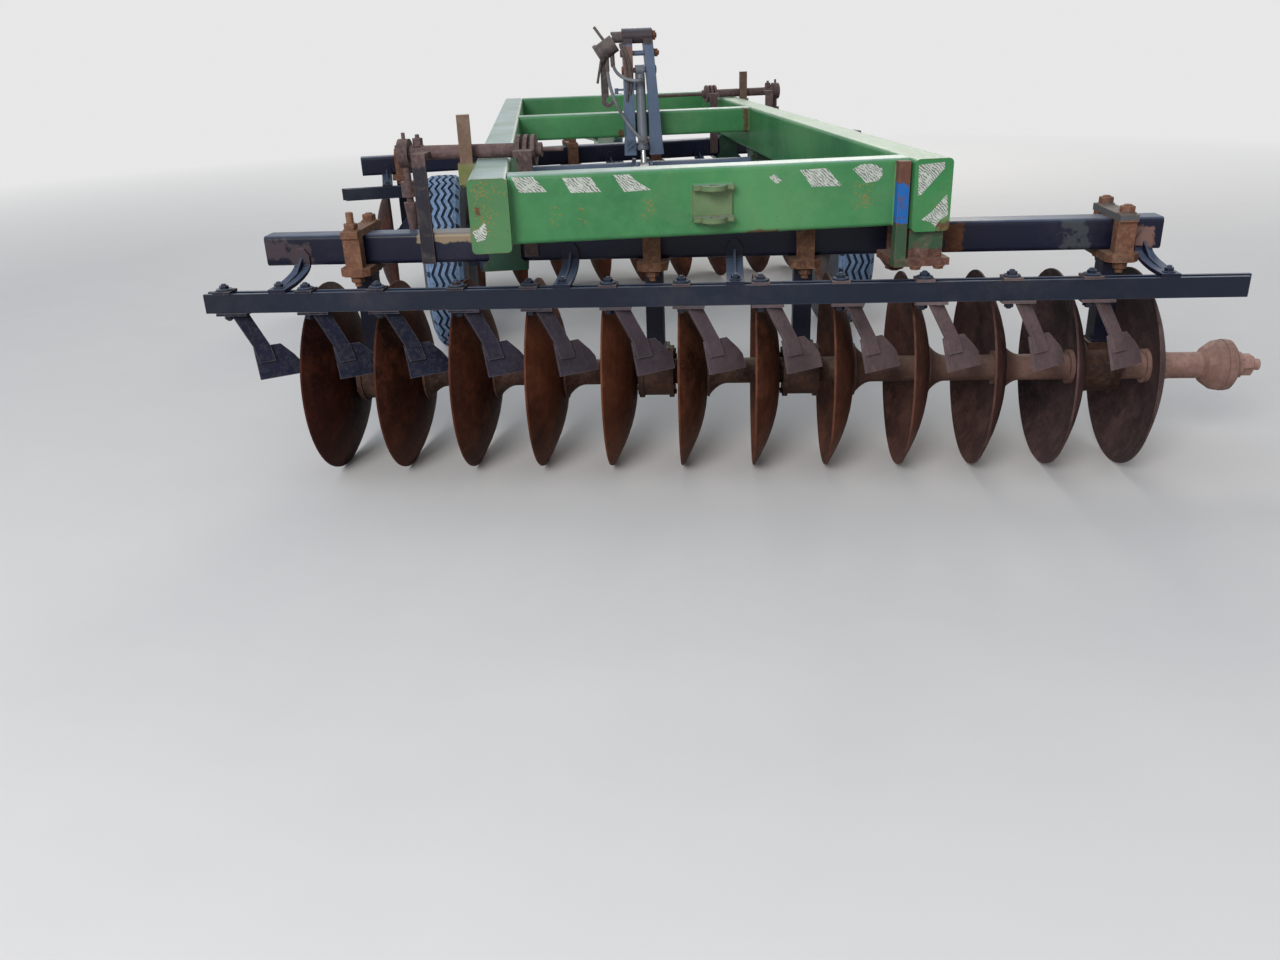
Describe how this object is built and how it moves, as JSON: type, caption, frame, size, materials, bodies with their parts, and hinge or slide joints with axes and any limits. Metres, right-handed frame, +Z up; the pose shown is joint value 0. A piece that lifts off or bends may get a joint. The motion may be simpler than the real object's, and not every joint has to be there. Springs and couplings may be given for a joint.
{
  "type": "trailed offset disc harrow",
  "caption": "Trailed offset disc harrow: a box frame on lift wheels carries two gangs of dished discs at opposite angles, with scrapers and a drawbar.",
  "frame": {"origin": "middle of the ground that the whole machine covers, at the height its discs and wheels stand on", "axes": "+Y is the direction of travel, towards the hitch; +X is to the right as seen from behind; +Z is up"},
  "size_m": [3.699, 6.1548, 1.4671],
  "materials": {
    "green_paint": "weathered green paint",
    "navy_paint": "dark blue paint, scuffed",
    "slate_paint": "slate blue paint, dusty",
    "rusty_steel": "rust over bare metal",
    "disc_steel": "rusted, worn by soil",
    "tyre_rubber": "dusty",
    "hose_rubber": "matt, dusty",
    "rod_chrome": "polished"
  },
  "bodies": {
    "frame": {"side_beam_left": "green_paint", "side_beam_right": "green_paint", "rear_cross_beam": "green_paint", "mid_cross_beam": "green_paint", "front_cross_beam": "green_paint", "rear_clevis": "green_paint", "rear_pivot_bracket": "rusty_steel", "front_pivot_bracket": "rusty_steel", "rear_keeper": "green_paint", "front_keeper": "green_paint", "rear_stop_post": "rusty_steel", "front_stop_post": "rusty_steel", "mast": "slate_paint", "hose_couplings": "slate_paint", "shaft_bearings": "green_paint", "drawbar": "green_paint", "drawbar_braces": "green_paint", "hitch_head": "rusty_steel", "jack_tube": "slate_paint"},
    "rear_gang": {"rear_gang_beam": "navy_paint", "rear_yoke": "rusty_steel", "rear_beam_clamps": "rusty_steel", "rear_hangers": "navy_paint", "rear_bearings": "rusty_steel", "rear_scraper_rails": "navy_paint", "rear_rail_hangers": "navy_paint", "rear_scrapers": "rusty_steel"},
    "rear_rotor": {"rear_discs": "disc_steel", "rear_axle": "disc_steel"},
    "front_gang": {"front_gang_beam": "navy_paint", "front_yoke": "rusty_steel", "front_beam_clamps": "rusty_steel", "front_hangers": "navy_paint", "front_bearings": "rusty_steel", "front_scraper_rails": "navy_paint", "front_rail_hangers": "navy_paint", "front_scrapers": "rusty_steel"},
    "front_rotor": {"front_discs": "disc_steel", "front_axle": "disc_steel"},
    "lift_shaft": {"rock_shaft": "slate_paint", "wheel_arms": "slate_paint", "lift_lever": "slate_paint"},
    "left_wheel": {"left_rim": "rusty_steel", "left_tyre": "tyre_rubber"},
    "right_wheel": {"right_rim": "rusty_steel", "right_tyre": "tyre_rubber"},
    "lift_barrel": {"cylinder_barrel": "navy_paint", "lift_hoses": "hose_rubber"},
    "lift_rod": {"cylinder_rod": "rod_chrome"},
    "jack": {"jack_leg": "rusty_steel"}
  },
  "joints": [
    {"name": "rear_gang_angle", "type": "hinge", "parent": "frame", "child": "rear_gang", "pos_m": [0.63778, -2.61483, 0.848], "axis": [0, 0, -1], "range_deg": [0, 4]},
    {"name": "front_gang_angle", "type": "hinge", "parent": "frame", "child": "front_gang", "pos_m": [-0.66322, 0.44269, 0.848], "axis": [0, 0, 1], "range_deg": [0, 4]},
    {"name": "rear_disc_spin", "type": "hinge", "parent": "rear_gang", "child": "rear_rotor", "pos_m": [0.05628, -2.51961, 0.33], "axis": [0.9869, -0.1616, 0], "continuous": true},
    {"name": "front_disc_spin", "type": "hinge", "parent": "front_gang", "child": "front_rotor", "pos_m": [-0.04672, 0.51839, 0.33], "axis": [0.9925, 0.1219, 0], "continuous": true},
    {"name": "wheel_lift", "type": "hinge", "parent": "frame", "child": "lift_shaft", "pos_m": [-0.01272, -0.36261, 0.77], "axis": [1, 0, 0], "range_deg": [-8, 30]},
    {"name": "left_wheel_spin", "type": "hinge", "parent": "lift_shaft", "child": "left_wheel", "pos_m": [-0.98272, -0.72261, 0.415], "axis": [1, 0, 0], "continuous": true},
    {"name": "right_wheel_spin", "type": "hinge", "parent": "lift_shaft", "child": "right_wheel", "pos_m": [0.95728, -0.72261, 0.415], "axis": [1, 0, 0], "continuous": true},
    {"name": "cylinder_tilt", "type": "hinge", "parent": "frame", "child": "lift_barrel", "pos_m": [0.00828, -0.45261, 1.26], "axis": [1, 0, 0], "range_deg": [-1, 2]},
    {"name": "cylinder_stroke", "type": "slide", "parent": "lift_barrel", "child": "lift_rod", "axis": [0, -0.1609, -0.987], "range_m": [-0.03, 0.095]},
    {"name": "jack_leg_slide", "type": "slide", "parent": "frame", "child": "jack", "axis": [0, 0, 1], "range_m": [0, 0.3]}
  ],
  "couplings": [
    {"joint": "cylinder_tilt", "follows": "wheel_lift", "ratio": 0.05397},
    {"joint": "cylinder_stroke", "follows": "wheel_lift", "m_per_rad": 0.16298}
  ]
}
